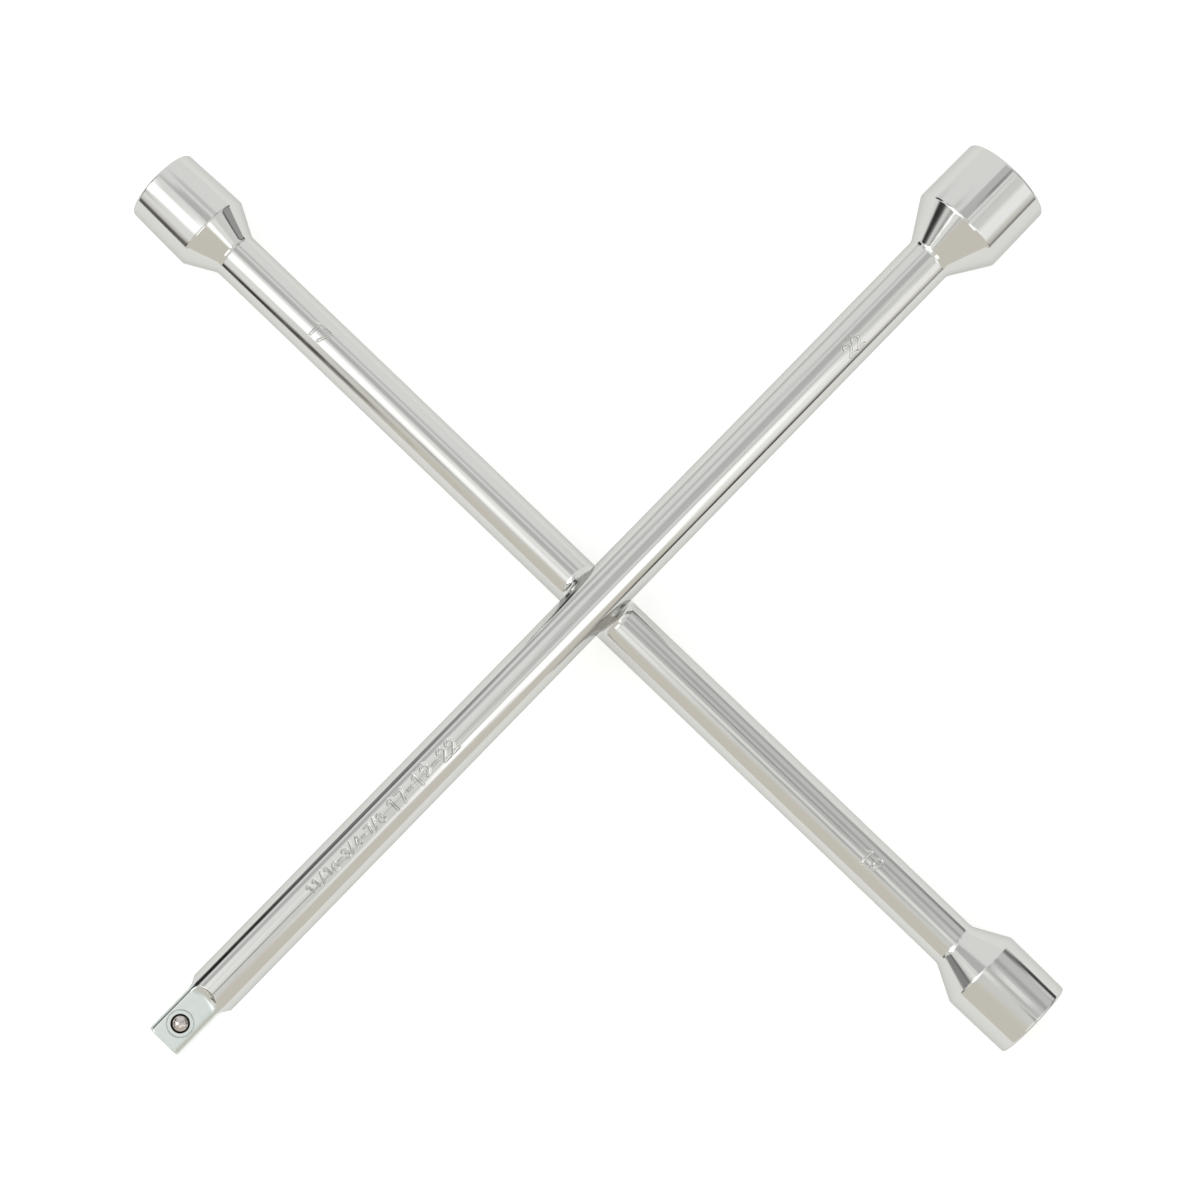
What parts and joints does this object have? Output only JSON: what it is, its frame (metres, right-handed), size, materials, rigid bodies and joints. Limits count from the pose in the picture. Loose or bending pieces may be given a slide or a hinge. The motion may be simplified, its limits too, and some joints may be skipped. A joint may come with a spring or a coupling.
{
  "type": "lug wrench",
  "caption": "Cross-shaped lug wrench: crossed round bars joined at the middle, with a hexagon socket on all ends but one, which has a square drive with a sprung ball.",
  "frame": {"origin": "centre of the crossing, half-way between the two bar axes, in the plane where the bars are joined", "axes": "+X along the drive bar towards the 22 mm socket (the square drive is at -X), +Y along the socket bar towards the 17 mm socket (the 19 mm socket is at -Y), +Z from the socket bar to the drive bar, up when the wrench lies on its 17 and 19 mm sockets"},
  "size_m": [0.4071, 0.4124, 0.0442],
  "materials": {
    "chrome_plate": "polished bright chrome plate on forged steel",
    "weld_flash": "chrome plate over an unmachined, slightly rippled weld",
    "ball_steel": "polished hardened steel ball",
    "spring_steel": "bare spring wire"
  },
  "bodies": {
    "frame": {"drive_bar": "chrome_plate", "socket_bar": "chrome_plate", "weld_collar": "weld_flash", "detent_spring": "spring_steel"},
    "ball": {"detent_ball": "ball_steel"}
  },
  "joints": [
    {"name": "detent_press", "type": "slide", "parent": "frame", "child": "ball", "axis": [0, 0, 1], "range_m": [-0.0015, 0], "stiffness_N_per_m": 2000, "springref_m": 0.002, "deforming": ["detent_spring"]}
  ]
}
